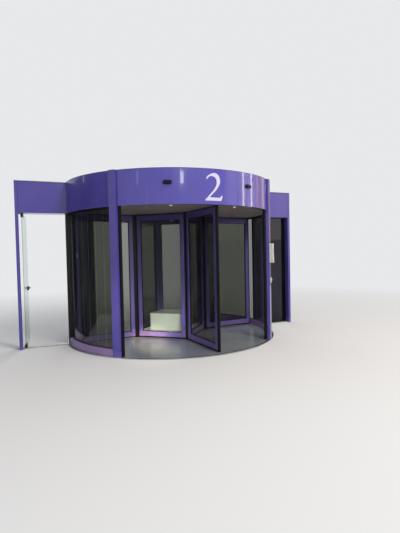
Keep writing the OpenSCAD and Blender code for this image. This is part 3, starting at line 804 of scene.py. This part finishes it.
# Square core of the rotor: a raised white floor on the bearing, a hollow display
# plinth with a lid, black corner posts and a grey top plate with two spots.
board = Finish("white_board")
scuff = board.noise(6.0, 6.0)
worn = board.band(scuff, 0.45, 0.8) * 0.6
white_board = board.surface({
    "Base Color": board.blend(worn, shade(246, 248, 240), shade(222, 224, 212)),
    "Roughness": 0.3 + scuff * 0.2,
}, board.noise(420.0, 2.0), depth=0.00003)
dress(white_board, "core_base", "display_plinth")
dress(black_metal, "core_posts")
rotor_rest = 4.5
core = around(rotor_rest + 45.0)
plinth_low, plinth_top = heights("display_plinth")
lid_x, lid_y, lid_t, lid_gap, corner_x, corner_y = 0.256, 0.336, 0.008, 0.0003, 0.2495, 0.3295
leg, face_out, face_in = 0.018, 0.0015, 0.0002
corner_steps = [(face_out, face_out), (-leg, face_out), (-leg, face_in), (face_in, face_in), (face_in, -leg),
                (face_out, -leg)]
lid = Making()
lid.block((-lid_x, -lid_y, plinth_top + lid_gap), (lid_x, lid_y, plinth_top + lid_gap + lid_t), core)
for way_x, way_y in ((-1, -1), (-1, 1), (1, -1), (1, 1)):
    outline = [(way_x * (corner_x + a), way_y * (corner_y + b)) for a, b in corner_steps]
    lid.bar(outline[::way_x * way_y], plinth_low + face_in, plinth_top, core)
lid_glass = Finish("plinth_lid")
mist = lid_glass.noise(8.0, 5.0)
frosted_lid = lid_glass.surface({
    "Base Color": lid_glass.blend(mist, shade(188, 198, 190), shade(206, 212, 204)),
    "Roughness": 0.12 + mist * 0.14,
    "Coat Weight": 0.4,
})
lid.fit("plinth_lid", frosted_lid, "rotor", "off_white", bevel=0.0005)
plate_low, spindle_top = heights("core_top")
plate_half, plate_t, spindle_r, spindle_edge = 0.4412, 0.03, 0.0297, 0.0012
over = Making()
over.block((-plate_half, -plate_half, plate_low), (plate_half, plate_half, plate_low + plate_t), core)
over.turned([
    (spindle_r, plate_low + plate_t - 0.004), (spindle_r, spindle_top - 0.0015),
    (spindle_r - spindle_edge, spindle_top - 0.0002)
], sides=48)
over.fit("core_plate", ceiling_paint, "rotor", "ceiling_paint", "core_top", bevel=0.0012)
spot_x, spot_y = 0.244, 0.062
shell_profile = [(0.036, -0.001), (0.036, 0.003), (0.03, 0.005), (0.029, 0.018), (0.026, 0.02),
                 (0.0215, 0.019)]
bulb_profile = [(0.0212, 0.016), (0.0205, 0.0195), (0.008, 0.0203)]
spots, spot_lenses = Making(), Making()
for way in (1.0, -1.0):
    place = core @ Matrix.Translation((way * spot_x, way * spot_y, plate_low)) @ upside_down
    spots.turned(shell_profile, place, lamp_sides)
    spot_lenses.turned(bulb_profile, place, lamp_sides)
spots.fit("core_spots", steel_round, "rotor", "metal_trim")
spot_lenses.fit("core_spot_lenses", lamp_lens, "rotor", "off_white")

# Glazed frames of the rotor: four sides of the core and four wings, of purple
# enamelled stiles and rails, with their panes held in black rubber beads.
rotor_enamel = enamel("rotor_enamel", shade(92, 81, 146), shade(112, 99, 160), foot=0.22, dusty=0.3)
dress(rotor_enamel, "core_frames", "wing_a_frame", "wing_b_frame", "wing_c_frame", "wing_d_frame")
# Core and wing panes: tints darker than the smoke alone, as painted shade for the dark inside.
dress(smoked_and_shaded_glass("core_glass", (0.62, 0.63, 0.61, 1.0), film=0.015), "core_glass")
dress(smoked_and_shaded_glass("wing_glass", (0.51, 0.52, 0.49, 1.0), film=0.03), "wing_glass")
frame_low, frame_high = heights("core_frames")
core_half, wing_start, wing_end, frame_half = 0.695 / math.sqrt(2), 0.73, 1.735, 0.025
stile_w, bottom_rail_h, top_rail_h = 0.07, 0.085, 0.1
pane_low, pane_high = frame_low + bottom_rail_h, frame_high - top_rail_h
bead_section = [(0.0, 0.0052), (0.009, 0.0052), (0.007, 0.011), (0.0, 0.0145)]
core_inside = core_half - 2 * frame_half
wings = [around(rotor_rest + 90.0 * i) for i in range(4)]
panels = [(wing_start, wing_end, wing) for wing in wings] + [
    (-core_inside, core_inside, wing @ around(45.0, core_half - frame_half) @ around(90.0)) for wing in wings
]
pane_beads, caps = Making(), Making()
for start, end, place in panels:
    glazing_bead(pane_beads, bead_section, (start + stile_w, pane_low), (end - stile_w, pane_high), place)
    for way in (-1.0, 1.0):
        for x in (start + stile_w / 2, end - stile_w / 2):
            for z in (frame_low + bottom_rail_h / 2, frame_high - top_rail_h / 2):
                spot = place @ facing(x, way * frame_half, z, way)
                caps.turned([(0.006, -0.001), (0.006, 0.0005), (0.0045, 0.001), (0.0015, 0.001)], spot, 14)
pane_beads.fit("pane_beads", black_rubber, "rotor", "black_rubber")
caps.fit("frame_caps", rotor_enamel, "rotor", "purple_paint")

# Fastenings of the wings: on one face of each outer stile a small steel catch at
# chest height, and a round black floor bolt at its foot.
catch_x, catch_z, catch_l, catch_w, knob_up = 1.7, 1.5, 0.066, 0.03, 0.012
catch_layers = (1.0, -0.001), (1.0, 0.002), (0.93, 0.003)
knob_profile = [(0.0085, 0.002), (0.0085, 0.007), (0.0075, 0.008), (0.0015, 0.0074)]
bolt_x, bolt_z = 1.703, 0.128
bolt_profile = [(0.024, -0.001), (0.024, 0.004), (0.0225, 0.0055), (0.013, 0.006), (0.012, 0.012),
                (0.0105, 0.0135), (0.003, 0.0135)]
catches, bolts = Making(), Making()
for wing in wings:
    place = wing @ facing(catch_x, frame_half, catch_z)
    catches.loft([
        [place @ Vector((across * share, along * share, z)) for along, across in capsule(catch_l, catch_w)]
        for share, z in catch_layers
    ])
    catches.turned(knob_profile, place @ Matrix.Translation((0.0, knob_up, 0.0)), 18)
    bolts.turned(bolt_profile, wing @ facing(bolt_x, frame_half, bolt_z), 26)
catches.fit("wing_catches", steel_straight, "rotor", "metal_trim")
bolts.fit("wing_floor_bolts", black_metal, "rotor", "black_trim")

# Brush strips under the wings and the core: a black channel with two rows of
# stiff black bristle that stop just over the floor.
channel_low, channel_half, row_off, tuft_pitch, row_splay = 0.0335, 0.015, 0.0062, 0.0068, 0.18
tuft_top, tuft_bend, tuft_tip, tuft_x, tuft_y = 0.035, 0.026, 0.0172, 0.0026, 0.0042
tuft_corners = (-tuft_x, -tuft_y), (tuft_x, -tuft_y), (tuft_x, tuft_y), (-tuft_x, tuft_y)
holders, bristles = Making(), Making()
draw = random.Random(7)
for start, end, place in panels:
    holders.block((start, -channel_half, channel_low), (end, channel_half, frame_low), place)
    count = int((end - start) / tuft_pitch)
    for row in (-row_off, row_off):
        for i in range(count):
            x = start + tuft_pitch / 2 + i * (end - start - tuft_pitch) / (count - 1)
            lean = draw.uniform(-0.0014, 0.0014)
            splay = draw.uniform(-0.0012, 0.0012) + row * row_splay
            tip = tuft_tip + draw.uniform(0.0, 0.0012)
            bristles.loft([
                [place @ Vector((x + dx * wide + lean * bent, row + dy * wide + splay * bent, z))
                 for dx, dy in tuft_corners]
                for wide, bent, z in ((1.0, 0.0, tuft_top), (0.95, 0.5, tuft_bend), (1.12, 1.0, tip))
            ])
holders.fit("brush_channels", black_metal, "rotor", "black_trim", "rotor_brushes", bevel=0.001)
hair = Finish("bristle")
strands = hair.noise(1.0, 2.0, hair.stretch((900.0, 900.0, 30.0)))
black_bristle = hair.surface({
    "Base Color": hair.blend(strands, shade(14, 14, 15), shade(46, 45, 46)),
    "Roughness": 0.7,
    "Specular IOR Level": 0.2,
}, strands, depth=0.0006)
bristles.fit("brush_bristles", black_bristle, "rotor", "black_rubber")

# Rubber seals: at the outer end of each wing a wiper with a slim lip toward the
# wall, and over every frame a low fin that runs just under the ceiling.
seal_low, seal_high = heights("wing_end_seals")
seal_in, fin_base, fin_lap, fin_half, fin_lip_half = 0.0002, 0.0055, 0.0005, 0.0149, 0.0055
wiper_half = [(0.0, 0.0249), (0.01, 0.0249), (0.0125, 0.0235), (0.014, 0.02), (0.014, 0.009),
              (0.018, 0.0076), (0.0255, 0.0066), (0.0287, 0.0046)]
wiper = [(wing_end + out, -y) for out, y in wiper_half] + [(wing_end + out, y) for out, y in wiper_half[::-1]]
wipers, fins = Making(), Making()
for wing in wings:
    wipers.bar(wiper, seal_low + seal_in, seal_high - seal_in, wing)
for start, end, place in panels:
    fin_top = frame_high + fin_base
    fins.block((start, -fin_half, frame_high), (end, fin_half, fin_top), place)
    fins.block((start, -fin_lip_half, fin_top - fin_lap), (end, fin_lip_half, seal_high - seal_in), place)
wipers.fit("wing_wipers", black_rubber, "rotor", "black_rubber", "wing_end_seals")
fins.fit("top_fins", black_rubber, "rotor", "black_rubber", "rotor_top_seals", bevel=0.0008)

# Studio: a plain pale floor that runs out into an even pale sky. It throws less
# light back up than so pale a floor would, which keeps rails and ceiling dark.
pale_sky, sky_light, sky_power = (0.8, 0.81, 0.83, 1.0), (0.88, 0.93, 1.0, 1.0), 0.46
pale_floor, floor_bounce, floor_half = (0.72, 0.71, 0.7, 1.0), (0.34, 0.33, 0.32, 1.0), 90
fade_start, fade_end = 3.2, 10.5


def seen(finish):
    """1 for rays from the camera, a mirror or through glass, and 0 for those that light."""
    path = finish.node("LightPath")
    rays = path["Is Camera Ray"] + path["Is Glossy Ray"] + path["Is Transmission Ray"]
    return rays.apply("MINIMUM", 1.0)


def stage_sheet(name, material, corners):
    sheet = bpy.data.meshes.new(name)
    sheet.from_pydata(corners, [], [(0, 1, 2, 3)])
    sheet.materials.append(material)
    piece = bpy.data.objects.new(name, sheet)
    bpy.context.scene.collection.objects.link(piece)
    return piece


plain = Finish("studio_floor")
thrown_back = plain.node("LightPath")["Is Diffuse Ray"]
matt = plain.node("BsdfDiffuse", {}, {"Color": plain.blend(thrown_back, pale_floor, floor_bounce)})
far = plain.node("Emission", {}, {"Color": pale_sky})
fade = plain.band(plain.radius(), fade_start, fade_end) * seen(plain)
plain.node("OutputMaterial", {}, {"Surface": plain.node("MixShader", {}, {0: fade, 1: matt, 2: far})})
stage_sheet("studio_floor", plain.owner, [
    (x * floor_half, y * floor_half, 0) for x, y in ((-1, -1), (1, -1), (1, 1), (-1, 1))
])
sky = Finish("studio", bpy.data.worlds)
thrown = sky.node("Background", {}, {"Color": sky_light, "Strength": sky_power})
shown = sky.node("Background", {}, {"Color": pale_sky, "Strength": 1.0})
sky.node("OutputWorld", {}, {"Surface": sky.node("MixShader", {}, {0: seen(sky), 1: thrown, 2: shown})})
bpy.context.scene.world = sky.owner


# Lamps: three large soft ones round the door, then those that show as reflections
# on the purple band, and beams that make the sunlit patch on floor, rail and plinth.
def lamp(name, kind, at, toward, power, colour, mirrored):
    """A lamp that the camera doesn't see, aimed from one point at another."""
    light = bpy.data.lights.new(name, kind)
    light.energy, light.color = power, colour
    stand = bpy.data.objects.new(name, light)
    aim = (Vector(at) - Vector(toward)).to_track_quat("Z", "Y")
    stand.matrix_world = Matrix.Translation(at) @ aim.to_matrix().to_4x4()
    stand.visible_camera, stand.visible_glossy = False, mirrored
    bpy.context.scene.collection.objects.link(stand)
    return light


def softbox(name, at, toward, width, height, power, colour=(1.0, 1.0, 1.0), mirrored=True):
    panel = lamp(name, "AREA", at, toward, power, colour, mirrored)
    panel.shape, panel.size, panel.size_y = "RECTANGLE", width, height


softbox("key", (2.6, -8.4, 9.4), (0.0, -0.6, 0.8), 3.0, 3.0, 560.0, (1.0, 0.94, 0.87), mirrored=False)
softbox("front_fill", (0.6, -9.5, 5.6), (0.0, -0.6, 0.9), 5.0, 3.0, 260.0, (1.0, 0.98, 0.95), mirrored=False)
softbox("rim", (3.0, 9.5, 8.5), (0.0, 0.0, 1.0), 6.0, 5.0, 430.0, mirrored=False)
# Where each is seen on the band, the compass turn, distance and climb from there
# to the lamp, its width, height and power, and its colour.
for name, seen_at, turn, away, climb, width, height, power, colour in (
    ("strip_a", (0.593, -1.737, 2.45), -23.0, 10.0, 0.149, 0.46, 4.0, 84.0, (1.0, 0.86, 0.6)),
    ("strip_b", (0.777, -1.662, 2.45), -9.2, 10.0, 0.149, 0.34, 4.0, 64.0, (1.0, 0.88, 0.9)),
    ("strip_c", (0.92, -1.588, 2.45), 2.4, 10.0, 0.149, 0.9, 4.0, 17.0, (1.0, 0.74, 0.4)),
    ("strip_e", (1.113, -1.459, 2.45), 16.4, 10.0, 0.149, 0.9, 4.0, 20.0, (1.0, 0.74, 0.4)),
    ("strip_f", (1.24, -1.353, 2.45), 27.0, 10.0, 0.149, 1.2, 4.0, 20.0, (1.0, 0.74, 0.4)),
    ("glint", (-0.42, -1.787, 2.58), -95.8, 4.0, 0.184, 0.27, 0.28, 4.6, (0.98, 1.0, 0.98)),
    ("strip_g", (-1.0, -1.539, 2.57), -141.4, 10.0, 0.184, 0.34, 0.5, 1.8, (0.95, 1.0, 1.0)),
    ("strip_h", (-1.64, -0.823, 2.67), 150.7, 3.8, 0.184, 0.11, 0.2, 0.3, (0.95, 1.0, 1.0)),
):
    turn = math.radians(turn)
    at = (seen_at[0] + away * math.cos(turn), seen_at[1] + away * math.sin(turn), seen_at[2] + away * climb)
    softbox(name, at, seen_at, width, height, power, colour)
softbox("sheen", (8.3, -8.4, 4.0), (0.7, -1.7, 2.45), 2.6, 4.0, 36.0, (1.0, 0.84, 0.7))
beam_r = 0.1
for name, at, toward, power, cone, soft, colour in (
    ("wide_beam", (-2.4, -8.2, 3.2), (-0.62, -0.6, 0.3), 1200.0, 14.0, 0.8, (1.0, 0.9, 0.78)),
    ("low_beam", (-2.4, -8.2, 3.2), (-0.58, -0.42, -0.03), 7200.0, 4.4, 0.28, (1.0, 0.84, 0.48)),
    ("inner_beam", (-1.9, -8.4, 2.6), (-0.21, -0.15, 0.27), 2800.0, 4.6, 0.5, (0.96, 1.0, 0.98)),
):
    beam = lamp(name, "SPOT", at, toward, power, colour, mirrored=False)
    beam.shadow_soft_size, beam.spot_size, beam.spot_blend = beam_r, math.radians(cone), soft

# Cards that only reflections see: black ones on the left and on the ground there,
# which keep the pale sky off the band and the curved wall, and a warm brown one on
# the right.
felt = Finish("flag_felt")
black_felt = felt.surface({
    "Base Color": felt.blend(felt.noise(30.0), shade(8, 8, 8), shade(16, 16, 16)),
    "Roughness": 0.9,
})
paper = Finish("warm_paper")
shaded = paper.band(paper.spot()["Y"], 4.2, 5.2)
brown = paper.blend(shaded, (0.62, 0.43, 0.28, 1.0), (0.08, 0.07, 0.09, 1.0))
paper.node("OutputMaterial", {}, {"Surface": paper.node("Emission", {}, {"Color": brown})})
for name, material, start, end, across in (
    ("black_card", black_felt, (-5.6, 6.0, 0.0), (-5.6, -1.5, 0.0), (0.0, 0.0, 3.6)),
    ("black_return", black_felt, (-2.6, 6.0, 0.0), (-5.6, 6.0, 0.0), (0.0, 0.0, 3.6)),
    ("black_cloth", black_felt, (-6.6, 0.1, 0.004), (-5.64, 6.0, 0.004), (4.02, 0.0, 0.0)),
    ("warm_card", paper.owner, (14.0, -3.4, 0.0), (8.8, 8.6, 0.0), (0.0, 0.0, 7.0)),
):
    start, end, across = Vector(start), Vector(end), Vector(across)
    card = stage_sheet(name, material, [start, end, end + across, start + across])
    card.visible_camera = card.visible_diffuse = card.visible_shadow = card.visible_transmission = False

view_settings = bpy.context.scene.view_settings
view_settings.view_transform = "Standard"
